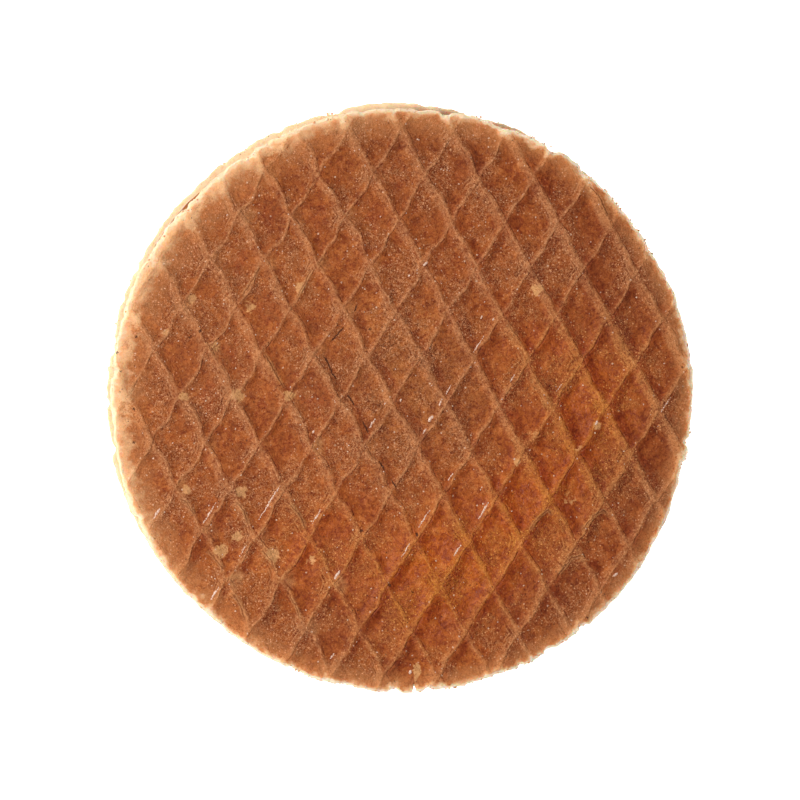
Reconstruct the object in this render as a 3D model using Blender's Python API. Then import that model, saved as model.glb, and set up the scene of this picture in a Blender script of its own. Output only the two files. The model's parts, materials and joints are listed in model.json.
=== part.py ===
"""Stroopwafel: two thin wafers pressed in a diamond-ridged iron, with a layer of syrup between them.

Metres, +Z up. The wafel lies flat, and the origin is under its middle, on the surface that it rests on.
The top wafer's ridges face up and the bottom wafer's face down, so that it rests on their crests.
"""

import math
from collections import namedtuple

import bmesh
import bpy
from mathutils import Matrix, Vector, noise

# Layers, from the resting surface up
WAFER_RADIUS = 0.0397
WAFER_BODY = 0.0019
RIDGE_HEIGHT = 0.0007
WAFER_THICKNESS = WAFER_BODY + RIDGE_HEIGHT
SYRUP_RADIUS = 0.0391
SYRUP_THICKNESS = 0.0012
LAYER_GAP = 0.0003

# How far, and which way, the bottom wafer slipped from under the top one
SLIP = 0.0010
SLIP_AZIMUTH = math.radians(135)

# Ridges: two families of straight ridges, which leave leaning diamonds between them
RIDGE_PITCH = 0.00627
FIRST_RIDGES_FACE = math.radians(-32)
SECOND_RIDGES_FACE = math.radians(28.5)
MIDDLE_CROSSING = (-0.00148, -0.00038)
CREST_WIDTH = 0.00066
FLANK_STEPS = ((0.00038, 0.00026), (0.00058, 0.00044))
FLOOR_SWELL = 0.00008
CELLS_ACROSS = 14

# How unevenly the dough baked: the ridges wander sideways, and the top wafer up and down too
SIDEWAYS_WANDER = 0.00022
HEIGHT_WANDER = 0.00016
WANDERS_PER_METRE = 95

# Each of these uses of the noise reads its own layer of it
WANDER_X_LAYER, WANDER_Y_LAYER, HEIGHT_LAYER = 1, 2, 3
TOP_EDGE_LAYER, BOTTOM_EDGE_LAYER = 10, 20

# The edge was cut round, and then its ridged corner wore and crumbled back.
# EDGE_PROFILE gives, at shares of the wafer's thickness, the share of that loss.
EDGE_SEGMENTS = 132
EDGE_PROFILE = ((0.0, 0.15), (0.20, 0.0), (0.68, 0.22), (1.08, 1.0))
EDGE_WEAR = 0.00075
EDGE_CRUMBLE = 0.00026
CRUMBS_ROUND_EDGE = 56

# Slow waves round the outlines: how many there are, how high, and the angle of the first crest in degrees
Wave = namedtuple("Wave", "count height start")
EDGE_WAVES = (Wave(2, 0.00009, 180), Wave(3, 0.00012, 135), Wave(7, 0.00010, 40))
SYRUP_WAVES = (Wave(3, 0.00020, 100), Wave(5, 0.00022, 30), Wave(11, 0.00012, 75))

# Chips out of the ridged corner of the edge, each at its azimuth in degrees
Chip = namedtuple("Chip", "azimuth width depth")
TOP_CHIPS = (
    Chip(31, 0.0016, 0.0006),
    Chip(38, 0.0014, 0.0006),
    Chip(54, 0.0032, 0.0013),
    Chip(146, 0.0020, 0.0005),
    Chip(222, 0.0030, 0.0011),
)
BOTTOM_CHIPS = (Chip(75, 0.0022, 0.0007), Chip(200, 0.0028, 0.0009))

# A split that runs in from the edge of the top wafer
SPLIT_AZIMUTH = math.radians(272.4)
SPLIT_LENGTH = 0.0032
SPLIT_WIDTH = 0.0008

# Size of the three-sided prism of radius 1 that a split is scaled from
PRISM_WIDTH = math.sqrt(3)
PRISM_LENGTH = 1.5
PRISM_HEIGHT = 2

# The syrup layer's edge bulges: heights as shares of its thickness, and how far each lies back
SYRUP_SEGMENTS = 96
SYRUP_PROFILE = ((0.0, 0.00028), (0.28, 0.00006), (0.72, 0.0), (1.0, 0.00030))

# Clearance that a cutter needs beyond what it cuts
CUTTER_SPARE = 0.0004

# Edges that turn by less than this are shaded smooth
SMOOTH_BELOW = math.radians(50)

Finish = namedtuple("Finish", "colour roughness")
BAKED_DOUGH = Finish((0.36, 0.112, 0.038), 0.62)
UNDERSIDE_DOUGH = Finish((0.34, 0.110, 0.040), 0.66)
AMBER_SYRUP = Finish((0.23, 0.072, 0.012), 0.22)


def clear_scene():
    for item in list(bpy.data.objects):
        bpy.data.objects.remove(item, do_unlink=True)


def new_collection(name):
    collection = bpy.data.collections.new(name)
    bpy.context.scene.collection.children.link(collection)
    return collection


def new_material(name, finish):
    material = bpy.data.materials.new(name)
    material.use_nodes = True
    shader = material.node_tree.nodes["Principled BSDF"]
    shader.inputs["Base Color"].default_value = (*finish.colour, 1.0)
    shader.inputs["Roughness"].default_value = finish.roughness
    shader.inputs["Metallic"].default_value = 0.0
    material.diffuse_color = (*finish.colour, 1.0)
    return material


def new_object(name, bm, collection):
    """Makes an object of the edit mesh, shaded smooth between its sharp edges."""
    mesh = bpy.data.meshes.new(name)
    bmesh.ops.recalc_face_normals(bm, faces=bm.faces[:])
    bm.to_mesh(mesh)
    bm.free()
    mesh.shade_smooth()
    mesh.set_sharp_from_angle(angle=SMOOTH_BELOW)
    made = bpy.data.objects.new(name, mesh)
    collection.objects.link(made)
    return made


def cut(target, cutter, operation):
    """Gives the target a Boolean with the cutter, which is carried by it and left out of the part."""
    cutter.parent = target
    cutter.hide_render = True
    cutter.display_type = "WIRE"
    modifier = target.modifiers.new(cutter.name, "BOOLEAN")
    modifier.operation = operation
    modifier.solver = "EXACT"
    modifier.object = cutter


def wave_sum(waves, azimuth):
    return sum(wave.height * math.cos(wave.count * azimuth - math.radians(wave.start)) for wave in waves)


def wander(place, layer):
    """A smooth swing between -1 and 1 over the wafer."""
    return noise.noise(Vector((place.x * WANDERS_PER_METRE, place.y * WANDERS_PER_METRE, layer)))


def edge_radius(azimuth, layer):
    """Distance from a wafer's middle to its cut edge."""
    crumbs = CRUMBS_ROUND_EDGE / (2 * math.pi)
    crumble = noise.noise(Vector((crumbs * math.cos(azimuth), crumbs * math.sin(azimuth), layer)))
    return WAFER_RADIUS + wave_sum(EDGE_WAVES, azimuth) + EDGE_CRUMBLE * crumble


def edge_loss(azimuth, chips):
    """How far the ridged corner of the edge lies back: a little all round, and more at each chip."""
    loss = EDGE_WEAR
    for chip in chips:
        turn = math.remainder(azimuth - math.radians(chip.azimuth), 2 * math.pi)
        widths_away = turn * WAFER_RADIUS / (chip.width / 2)
        loss += chip.depth * math.exp(-widths_away * widths_away)
    return loss


def lattice_matrix():
    """Takes a grid of unit squares to the diamonds that the two families of ridges enclose."""
    first = Vector((math.cos(FIRST_RIDGES_FACE), math.sin(FIRST_RIDGES_FACE)))
    second = Vector((math.cos(SECOND_RIDGES_FACE), math.sin(SECOND_RIDGES_FACE)))
    opening = first.x * second.y - first.y * second.x
    along_second = RIDGE_PITCH / opening * Vector((second.y, -second.x))
    along_first = RIDGE_PITCH / opening * Vector((-first.y, first.x))
    matrix = Matrix.Identity(4)
    matrix.col[0] = (*along_second, 0, 0)
    matrix.col[1] = (*along_first, 0, 0)
    matrix.col[3] = (*MIDDLE_CROSSING, WAFER_THICKNESS, 1)
    return matrix


def close_below(bm, level):
    """Drops a skirt from a sheet's open border to the level, and closes it there."""
    border = [edge for edge in bm.edges if edge.is_boundary]
    skirt = bmesh.ops.extrude_edge_only(bm, edges=border)["geom"]
    for part in skirt:
        if isinstance(part, bmesh.types.BMVert):
            part.co.z = level
    foot = [part for part in skirt if isinstance(part, bmesh.types.BMEdge) and part.is_boundary]
    bmesh.ops.edgeloop_fill(bm, edges=foot)


def ridged_slab(name, collection, height_wander):
    """A slab of diamond cells, wider than the wafer: flat crests, sloping flanks and swollen floors."""
    bm = bmesh.new()
    bmesh.ops.create_grid(bm, x_segments=CELLS_ACROSS, y_segments=CELLS_ACROSS, size=CELLS_ACROSS / 2)
    bmesh.ops.transform(bm, matrix=lattice_matrix(), verts=bm.verts[:])
    for vert in bm.verts:
        swing = Vector((wander(vert.co, WANDER_X_LAYER), wander(vert.co, WANDER_Y_LAYER), 0))
        vert.co += SIDEWAYS_WANDER * swing
    cells = bm.faces[:]
    bmesh.ops.inset_individual(bm, faces=cells, thickness=CREST_WIDTH / 2, use_even_offset=True)
    for run, drop in FLANK_STEPS:
        bmesh.ops.inset_individual(bm, faces=cells, thickness=run, depth=-drop, use_even_offset=True)
    bmesh.ops.poke(bm, faces=cells, offset=FLOOR_SWELL)
    for vert in bm.verts:
        vert.co.z -= height_wander * (1 + wander(vert.co, HEIGHT_LAYER)) / 2
    close_below(bm, -CUTTER_SPARE)
    return new_object(name, bm, collection)


def stacked_rings(segments, levels, radius_at):
    """A closed round solid with a ring of points at each level, radius_at(ring, azimuth) from its axis."""
    bm = bmesh.new()
    ring = bmesh.ops.create_circle(bm, cap_ends=True, segments=segments, radius=WAFER_RADIUS)["verts"]
    cap = bm.faces[:]
    for index, level in enumerate(levels):
        if index:
            grown = bmesh.ops.extrude_face_region(bm, geom=cap)["geom"]
            if index > 1:
                bmesh.ops.delete(bm, geom=cap, context="FACES_ONLY")
            ring = [part for part in grown if isinstance(part, bmesh.types.BMVert)]
            cap = [part for part in grown if isinstance(part, bmesh.types.BMFace)]
        for vert in ring:
            azimuth = math.atan2(vert.co.y, vert.co.x)
            radius = radius_at(index, azimuth)
            vert.co = (radius * math.cos(azimuth), radius * math.sin(azimuth), level)
    return bm


def edge_cutter(name, collection, layer, chips):
    """The solid inside a wafer's edge, which trims the slab to it."""

    def radius_at(ring, azimuth):
        return edge_radius(azimuth, layer) - EDGE_PROFILE[ring][1] * edge_loss(azimuth, chips)

    levels = [share * WAFER_THICKNESS for share, _ in EDGE_PROFILE]
    return new_object(name, stacked_rings(EDGE_SEGMENTS, levels, radius_at), collection)


def split_cutter(name, collection):
    """An upright wedge, widest outside the edge and closing to a line inside it."""
    bm = bmesh.new()
    bmesh.ops.create_cone(bm, cap_ends=True, segments=3, radius1=1, radius2=1, depth=PRISM_HEIGHT)
    width = SPLIT_WIDTH / PRISM_WIDTH
    length = (SPLIT_LENGTH + CUTTER_SPARE) / PRISM_LENGTH
    height = 2 * WAFER_THICKNESS / PRISM_HEIGHT
    tip = WAFER_RADIUS - SPLIT_LENGTH
    matrix = Matrix.Rotation(SPLIT_AZIMUTH + math.pi / 2, 4, "Z")
    matrix @= Matrix.Translation((0, -tip - length, WAFER_THICKNESS / 2))
    matrix @= Matrix.Diagonal((width, length, height, 1))
    bmesh.ops.transform(bm, matrix=matrix, verts=bm.verts[:])
    return new_object(name, bm, collection)


def make_top_wafer(parts, cutters):
    wafer = ridged_slab("top_wafer", parts, HEIGHT_WANDER)
    wafer.data.materials.append(new_material("baked_dough", BAKED_DOUGH))
    cut(wafer, edge_cutter("top_edge_cutter", cutters, TOP_EDGE_LAYER, TOP_CHIPS), "INTERSECT")
    cut(wafer, split_cutter("split_cutter", cutters), "DIFFERENCE")
    wafer.location = -slip() / 2
    wafer.location.z = WAFER_THICKNESS + SYRUP_THICKNESS + 2 * LAYER_GAP


def make_bottom_wafer(parts, cutters):
    """The same wafer turned over, so its crests are level at the resting surface."""
    wafer = ridged_slab("bottom_wafer", parts, 0.0)
    wafer.data.materials.append(new_material("underside_dough", UNDERSIDE_DOUGH))
    cut(wafer, edge_cutter("bottom_edge_cutter", cutters, BOTTOM_EDGE_LAYER, BOTTOM_CHIPS), "INTERSECT")
    wafer.rotation_euler.x = math.pi
    wafer.location = slip() / 2
    wafer.location.z = WAFER_THICKNESS


def make_syrup(parts):
    """The layer between the wafers, with a bulging edge that runs in and out a little."""

    def radius_at(ring, azimuth):
        return SYRUP_RADIUS + wave_sum(SYRUP_WAVES, azimuth) - SYRUP_PROFILE[ring][1]

    levels = [share * SYRUP_THICKNESS for share, _ in SYRUP_PROFILE]
    syrup = new_object("syrup", stacked_rings(SYRUP_SEGMENTS, levels, radius_at), parts)
    syrup.data.materials.append(new_material("amber_syrup", AMBER_SYRUP))
    syrup.location.z = WAFER_THICKNESS + LAYER_GAP


def slip():
    return SLIP * Vector((math.cos(SLIP_AZIMUTH), math.sin(SLIP_AZIMUTH), 0))


def main():
    clear_scene()
    parts = new_collection("stroopwafel")
    cutters = new_collection("cutters")
    make_bottom_wafer(parts, cutters)
    make_syrup(parts)
    make_top_wafer(parts, cutters)


if __name__ == "__main__":
    main()
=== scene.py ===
"""Stroopwafel: the looks of the wafel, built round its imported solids, with a studio to show it in.

Metres, +Z up, in the same frame as the solids. Each piece is modelled as by hand, with Blender's own
operators and modifiers, and stands for the solid of the same layer.
"""

import json
import math
import random
from collections import namedtuple

import bpy
from bpy.props import FloatProperty, FloatVectorProperty, IntProperty, PointerProperty
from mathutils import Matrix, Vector, noise
from mathutils.bvhtree import BVHTree

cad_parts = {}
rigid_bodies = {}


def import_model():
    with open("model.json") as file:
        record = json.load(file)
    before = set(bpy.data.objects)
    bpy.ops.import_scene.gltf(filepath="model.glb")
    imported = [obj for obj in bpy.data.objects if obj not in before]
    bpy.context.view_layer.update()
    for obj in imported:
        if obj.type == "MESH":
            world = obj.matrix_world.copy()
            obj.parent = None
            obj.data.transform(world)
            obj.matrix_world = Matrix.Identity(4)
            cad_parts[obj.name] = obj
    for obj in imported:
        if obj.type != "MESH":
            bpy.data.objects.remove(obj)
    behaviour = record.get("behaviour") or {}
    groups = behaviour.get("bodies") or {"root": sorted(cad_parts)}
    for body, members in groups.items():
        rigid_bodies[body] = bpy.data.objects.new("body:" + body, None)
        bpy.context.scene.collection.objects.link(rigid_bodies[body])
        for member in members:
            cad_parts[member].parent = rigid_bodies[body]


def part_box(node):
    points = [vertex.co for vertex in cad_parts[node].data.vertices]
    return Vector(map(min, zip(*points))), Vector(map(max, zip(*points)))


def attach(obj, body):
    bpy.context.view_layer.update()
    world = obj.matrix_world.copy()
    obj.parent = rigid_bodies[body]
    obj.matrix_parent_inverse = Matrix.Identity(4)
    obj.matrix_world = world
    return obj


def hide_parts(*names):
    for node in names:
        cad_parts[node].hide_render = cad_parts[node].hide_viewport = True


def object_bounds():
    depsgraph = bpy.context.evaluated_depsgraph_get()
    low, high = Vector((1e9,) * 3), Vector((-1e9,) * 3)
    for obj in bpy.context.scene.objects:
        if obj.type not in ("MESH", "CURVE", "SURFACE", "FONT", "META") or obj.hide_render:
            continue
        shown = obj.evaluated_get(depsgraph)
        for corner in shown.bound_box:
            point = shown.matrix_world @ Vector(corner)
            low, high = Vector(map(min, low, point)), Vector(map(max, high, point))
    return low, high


bl_info = {
    "name": "Stroopwafel",
    "version": (1, 0, 0),
    "blender": (4, 5, 0),
    "location": "View3D > Sidebar > Wafel",
    "description": "Models and finishes a stroopwafel round its solids",
    "category": "Add Mesh",
}

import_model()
SOLID_LOW, SOLID_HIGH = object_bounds()
BOTTOM_LOW, BOTTOM_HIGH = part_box("bottom_wafer")
TOP_LOW, TOP_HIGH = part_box("top_wafer")

MM = 0.001

# Towards this side the dough along the cut edge is paler over a wider band, and its crumb darker and
# creamier
PALE_SIDE = math.radians(155)

# Each wafer reads its own layers of the noise, and so does each thing that wanders
TOP_LAYER, BOTTOM_LAYER = 10, 20
NIBBLE_LAYERS_UP, BITE_LAYERS_UP = 3, 5
FIRST_RIDGES_LAYER, SECOND_RIDGES_LAYER, SLOW_PRESS_LAYER, QUICK_PRESS_LAYER = 2, 3, 5, 6
LIGHT_LAYER, FOOT_SHADE_LAYER, SPOT_LAYER, CORNER_LAYER = 14, 15, 16, 17
BEAD_LAYER, WEAR_LAYER, OOZE_LAYER = 21, 31, 41

# How far, and which way, the bottom wafer slipped from under the top one
SLIP = 1.0 * MM
SLIP_AZIMUTH = math.radians(135)

# The lattice of ridges. The first family runs from upper left to lower right and the second from
# upper right to lower left; a diamond cell is one lattice unit each way.
RIDGE_PITCH = 6.27 * MM
HALF_PITCH_MM = RIDGE_PITCH / MM / 2
CELL_WIDTH, CELL_HEIGHT = 7.259 * MM, 12.447 * MM
LATTICE_LEAN = math.radians(-1.75)
RIDGES_FACE = [Vector((math.cos(math.radians(lean)), math.sin(math.radians(lean)))) for lean in (28.5, -32)]
MIDDLE_CROSSING = Vector((-1.33 * MM, -0.30 * MM, 0))
# Ridges wander by shares of the pitch: they bow within each cell, and sway slowly and quickly. The
# first two are given for the right side, and for how much more there is of them at the left.
BOW, BOW_AT_LEFT = 0.004, 0.022
SLOW_SWAY, SLOW_SWAY_AT_LEFT, SLOW_SWAY_PER_METRE = 0.060, 0.030, 230
QUICK_SWAY, QUICK_SWAY_PER_METRE = 0.045, 520
CELLS_ACROSS = 14
SHEET_MARGIN = 1.0 * MM
# Shares of a point's height: ridges stand on cells that are dished a little, and a low web joins two
# ridges left of where they cross, as far as its reach in millimetres
RIDGE_PART, DISH_PART = 0.76, 0.24
WEB_PART, WEB_REACH = 0.55, 2.6
FLANK_CURVE = 1.5
# How fully the ridges came out of the iron, with a slow and a quick swing across the wafer
PRESSED, PRESSED_SLOW_SWING, PRESSED_QUICK_SWING = 0.84, 0.22, 0.14

# Noise that displaces a wafer: the size of its lumps, how far they move the surface, and the level
# of the noise that stays in place. The last one sways the ridges sideways.
SURFACE_LUMPS = ((0.7 * MM, 0.08 * MM, 0.6), (1.9 * MM, 0.20 * MM, 0.6), (6.0 * MM, 0.20 * MM, 0.7))
RIDGE_SWAY_LUMP = 9.0 * MM
RIDGE_SWAY = 0.32 * MM

# The outline of a wafer: slow waves as in the solids, crumbs, nibbles, and bites where their noise
# passes a level. Fineness is how many lumps of noise there are to one radian of the edge.
Wave = namedtuple("Wave", "count height start")
EDGE_WAVES = (Wave(2, 0.09 * MM, 180), Wave(3, 0.12 * MM, 135), Wave(7, 0.10 * MM, 40))
CRUMBS_ROUND_EDGE = 56
EDGE_CRUMBLE = 0.26 * MM
NIBBLE_FINENESS, NIBBLE_DEPTH = 26, 0.22 * MM
BITE_FINENESS, BITE_DEPTH = 17, 0.38 * MM
BITE_LEVEL, BITE_SOFTNESS = 0.27, 0.22
CRUMB_PER_METRE, CRUMB_DEPTH = 1500, 0.22 * MM
WEAR_FINENESS, EDGE_WEAR, EDGE_WEAR_SWING = 22, 0.75 * MM, 0.9
EDGE_SEGMENTS = 900
WELD = 0.001 * MM
# At shares of a wafer's thickness from its back, the share of the edge's wear that it has lost there
EDGE_PROFILE = ((0.0, 0.35), (0.08, 0.08), (0.22, 0.0), (0.40, 0.0), (0.55, 0.08), (0.68, 0.24),
                (0.80, 0.48), (0.90, 0.74), (1.08, 1.15))

# The syrup: it bulges out between the wafers and grips a little way into both
SYRUP_RADIUS = 38.75 * MM
SYRUP_WAVES = (Wave(3, 0.20 * MM, 100), Wave(5, 0.22 * MM, 30), Wave(11, 0.12 * MM, 75))
SYRUP_BULGE = 0.18 * MM
SYRUP_GRIP = 0.08 * MM
SYRUP_LEVELS = 10
BULGE_CURVE, SYRUP_SAG = 0.7, 0.4
OOZE, OOZE_SWING, OOZE_FINENESS = 0.6, 0.8, 9
SYRUP_GRAIN, SYRUP_GRAIN_PER_METRE = 0.06 * MM, 900

# Chips out of the ridged corner, each at its azimuth in degrees on a rim of this radius
Chip = namedtuple("Chip", "azimuth width depth")
CHIPPED_RIM = 39.7 * MM
TOP_CHIPS = (
    Chip(31, 1.6 * MM, 0.6 * MM),
    Chip(38, 1.4 * MM, 0.6 * MM),
    Chip(54, 3.2 * MM, 1.3 * MM),
    Chip(146, 2.0 * MM, 0.5 * MM),
    Chip(222, 3.0 * MM, 1.1 * MM),
)
SPLIT_AZIMUTH = math.radians(272.4)
SPLIT_LENGTH, SPLIT_WIDTH = 1.1 * MM, 0.5 * MM
BOTTOM_CHIPS = (Chip(75, 2.2 * MM, 0.7 * MM), Chip(200, 2.8 * MM, 0.9 * MM))


def sizes_property(label, description, millimetres, **limits):
    return FloatProperty(name=label, description=description, default=millimetres * MM,
                         unit="LENGTH", precision=5, **limits)


def colour_property(label, description, colour):
    return FloatVectorProperty(name=label, description=description, default=colour, size=3,
                               subtype="COLOR", min=0.0, max=1.0)


class WaferSizes(bpy.types.PropertyGroup):
    """Sizes of one pressed wafer."""

    radius: sizes_property("Radius", "From the middle of a wafer to its cut edge", 39.7)
    thickness: sizes_property("Thickness", "From a wafer's flat back to its crests", 2.6)
    ridge_height: sizes_property("Ridge height", "From a cell's deepest place to the crests", 0.62)
    crest_half: sizes_property("Half crest", "Half the width of a ridge's rounded top", 0.12)
    fineness: IntProperty(name="Fineness", description="Faces along the side of one cell",
                          default=26, min=8, max=28)


class DoughColours(bpy.types.PropertyGroup):
    """Colours of the baked dough."""

    mottle: colour_property("Mottle", "Yellower clouds in the baked dough", (0.46, 0.145, 0.032))
    floor: colour_property("Cell floor", "Baked dough between the ridges", (0.335, 0.076, 0.011))
    soaked: colour_property("Soaked", "Dough that syrup has soaked", (0.44, 0.082, 0.002))
    dry: colour_property("Dry", "Matte dough in the middle", (0.335, 0.092, 0.018))
    browned: colour_property("Browned", "Dough that browned most", (0.225, 0.046, 0.009))
    spot: colour_property("Cell middle", "Redder dough in the middle of a cell", (0.290, 0.055, 0.009))
    pale: colour_property("Pale", "Dough that hardly browned", (0.74, 0.38, 0.15))
    tan: colour_property("Tan", "Dough that browned a little, near the edge", (0.70, 0.275, 0.092))
    bare: colour_property("Bare", "Unbrowned dough beside the cut edge", (0.90, 0.52, 0.26))
    crumb: colour_property("Crumb", "Unbaked-looking crumb at the cut edge", (0.97, 0.79, 0.57))
    # Near black for painted shade in pores, hairlines and cracks, and for burnt specks
    pore: colour_property("Pore", "Pores and cracks", (0.075, 0.018, 0.007))
    # Painted highlights: the lit colours stand for light on the flanks that face the lamp, and on crest
    # lines, folds and grains
    lit: colour_property("Lit", "Paler grains, and flanks that face the light", (0.61, 0.258, 0.108))
    lit_soaked: colour_property("Lit and soaked", "The same where syrup soaked it", (0.62, 0.215, 0.032))
    # Painted glints
    sparkle: colour_property("Sparkle", "Grains that catch the light", (0.95, 0.68, 0.48))


class SyrupColours(bpy.types.PropertyGroup):
    """Colours of the syrup."""

    body: colour_property("Syrup", "Caramel syrup between the wafers", (0.30, 0.085, 0.012))
    thin: colour_property("Thin syrup", "Syrup where light comes through it", (0.50, 0.17, 0.022))
    deep: colour_property("Deep syrup", "Syrup that boiled darkest", (0.14, 0.032, 0.005))
    glaze: colour_property("Glaze", "Clear set syrup on the dough", (0.55, 0.24, 0.12))
    # Sugar is also a painted highlight on the beads that stand for glints
    sugar: colour_property("Sugar", "Set syrup that sugar grained in", (0.86, 0.66, 0.54))


class WafelSettings(bpy.types.PropertyGroup):
    """What a maker may change."""

    wafer: PointerProperty(type=WaferSizes)
    dough: PointerProperty(type=DoughColours)
    syrup: PointerProperty(type=SyrupColours)


# --------------------------------------
# Modelling steps


def deselect_everything():
    """Leaves nothing selected for the next operator to act on."""
    for item in bpy.context.scene.objects:
        item.select_set(False)


def apply_modifier(piece, kind, **settings):
    """Adds a modifier to the piece with these settings, and applies it."""
    modifier = piece.modifiers.new(kind.title(), kind)
    for name, value in settings.items():
        setattr(modifier, name, value)
    bpy.context.view_layer.objects.active = piece
    bpy.ops.object.modifier_apply(modifier=modifier.name)


def roughen(piece, lump, depth, direction="Z", middle=0.5, detail=2):
    """Pushes the surface in and out by cloudy noise with lumps of this size."""
    clouds = bpy.data.textures.new(f"{piece.name}_{direction}_clouds", "CLOUDS")
    clouds.noise_scale = lump
    clouds.noise_depth = detail
    apply_modifier(piece, "DISPLACE", texture=clouds, texture_coords="LOCAL", direction=direction,
                   strength=depth, mid_level=middle)


def in_edit_mode(piece):
    bpy.context.view_layer.objects.active = piece
    bpy.ops.object.mode_set(mode="EDIT")


def in_object_mode():
    bpy.ops.object.mode_set(mode="OBJECT")


def edit_whole(piece):
    """Goes to edit mode with the whole piece selected."""
    in_edit_mode(piece)
    bpy.ops.mesh.select_all(action="SELECT")


def close_up():
    """Turns every face of a closed piece outwards, and leaves edit mode."""
    bpy.ops.mesh.select_all(action="SELECT")
    bpy.ops.mesh.normals_make_consistent(inside=False)
    in_object_mode()


def select_points(piece, chosen):
    """Selects the points that chosen(vertex) accepts, and goes to edit mode."""
    mesh = piece.data
    mesh.vertices.foreach_set("select", [bool(chosen(vert)) for vert in mesh.vertices])
    mesh.edges.foreach_set("select", [False] * len(mesh.edges))
    mesh.polygons.foreach_set("select", [False] * len(mesh.polygons))
    in_edit_mode(piece)
    bpy.ops.mesh.select_mode(type="VERT")


def turn(angle, axis="Z"):
    """Turns the selection anticlockwise. The operator turns the other way when it has no window."""
    bpy.ops.transform.rotate(value=-angle, orient_axis=axis, center_override=(0, 0, 0))


def ease(value):
    """0 at 0 and below, 1 at 1 and above, and smooth between."""
    value = min(1.0, max(0.0, value))
    return value * value * (3 - 2 * value)


def wave_sum(waves, azimuth):
    """How far an outline lies beyond its circle, each wave with its first crest at its start in degrees."""
    return sum(wave.height * math.cos(wave.count * azimuth - math.radians(wave.start)) for wave in waves)


def swing(place, per_metre, layer):
    """A smooth swing between -1 and 1."""
    return noise.noise(Vector((place.x * per_metre, place.y * per_metre, layer)))


def swing_round(azimuth, fineness, layer):
    """A smooth swing between -1 and 1 that closes on itself once round the edge."""
    return noise.noise(Vector((fineness * math.cos(azimuth), fineness * math.sin(azimuth), layer)))


def edge_radius(azimuth, radius, layer):
    """From the middle of a wafer to its uneven edge."""
    crumble = swing_round(azimuth, CRUMBS_ROUND_EDGE / (2 * math.pi), layer)
    nibbles = swing_round(azimuth, NIBBLE_FINENESS, layer + NIBBLE_LAYERS_UP)
    bites = swing_round(azimuth, BITE_FINENESS, layer + BITE_LAYERS_UP)
    bitten = BITE_DEPTH * ease((bites - BITE_LEVEL) / BITE_SOFTNESS)
    waves = wave_sum(EDGE_WAVES, azimuth)
    return radius + waves + EDGE_CRUMBLE * crumble + NIBBLE_DEPTH * nibbles - bitten


def edge_loss(azimuth, chips):
    """How far the ridged corner of the edge lies back: a little all round, and more at each chip."""
    loss = EDGE_WEAR * (1 + EDGE_WEAR_SWING * swing_round(azimuth, WEAR_FINENESS, WEAR_LAYER))
    for chip in chips:
        away = math.remainder(azimuth - math.radians(chip.azimuth), 2 * math.pi)
        widths_away = away * CHIPPED_RIM / (chip.width / 2)
        loss += chip.depth * math.exp(-widths_away * widths_away)
    return loss


def on_lattice(place):
    """Where a point lies on the lattice of ridges, which wander a little: whole numbers are on a crest."""
    offset = place.xy - MIDDLE_CROSSING.xy
    straight = [offset.dot(facing) / RIDGE_PITCH for facing in RIDGES_FACE]
    left = ease((-place.x / MM + 8) / 20)
    found = []
    for along, across, layer in ((straight[0], straight[1], FIRST_RIDGES_LAYER),
                                 (straight[1], straight[0], SECOND_RIDGES_LAYER)):
        bow = (BOW + BOW_AT_LEFT * left) * (1 - math.cos(2 * math.pi * across))
        slow = (SLOW_SWAY + SLOW_SWAY_AT_LEFT * left) * swing(place, SLOW_SWAY_PER_METRE, layer)
        found.append(along - bow + (slow + QUICK_SWAY * swing(place, QUICK_SWAY_PER_METRE, layer)))
    return found


def from_crests(place):
    """Distances in millimetres from the nearest ridge of each family, positive to its right."""
    return [(along - round(along)) * RIDGE_PITCH / MM for along in on_lattice(place)]


class Zone:
    """How the ridges look round here: they were pressed and soaked differently across the wafer.

    Each side of a ridge runs out over a distance in millimetres, and heights are shares of the tallest.
    """

    def __init__(self, place):
        self.low = ease((-place.y / MM - 8) / 16)
        self.right = ease((place.x / MM + 6) / 26)
        self.middle = patchiness(place, DRY_PATCHES)
        self.high = ease((place.y / MM - 4) / 18)
        self.first_left = 1.50 - 0.80 * self.low - 0.30 * self.middle
        self.first_right = 1.25 - 0.35 * self.low + 0.65 * self.right
        self.second_left = 0.60 + 0.65 * self.low + 0.20 * self.middle + 0.15 * self.right
        self.second_right = 0.65 + 0.70 * self.low + 0.65 * self.right
        self.first_height = 1.0 - 0.40 * self.low - 0.15 * self.high
        self.second_height = (0.72 + 0.28 * max(self.low, self.right)) * (1 - 0.12 * self.high)


def flank(away, crest_half, left_run, right_run):
    """Share of a ridge's height at this distance from its crest: sharp above, and easing out below."""
    beyond = -away - crest_half if away < 0 else away - 2 * crest_half
    run = left_run if away < 0 else right_run
    return max(0.0, 1 - max(0.0, beyond) / run) ** FLANK_CURVE


def ridge_share(place, sizes):
    """How much of the ridge height a point has: 1 on a crest and 0 at the deepest place of a cell."""
    zone = Zone(place)
    first_away, second_away = from_crests(place)
    crest_half = sizes.crest_half / MM
    first = zone.first_height * flank(first_away, crest_half, zone.first_left, zone.first_right)
    second = zone.second_height * flank(second_away, crest_half, zone.second_left, zone.second_right)
    ridges = 1 - (1 - first) * (1 - second)
    if first_away < 0 and second_away < 0:
        web = max(0.0, 1 - (abs(first_away) + abs(second_away)) / WEB_REACH)
        ridges += (1 - ridges) * WEB_PART * web * (1 - zone.middle)
    dish = 1 - min(abs(first_away), abs(second_away)) / HALF_PITCH_MM
    return RIDGE_PART * ridges + DISH_PART * dish


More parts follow.
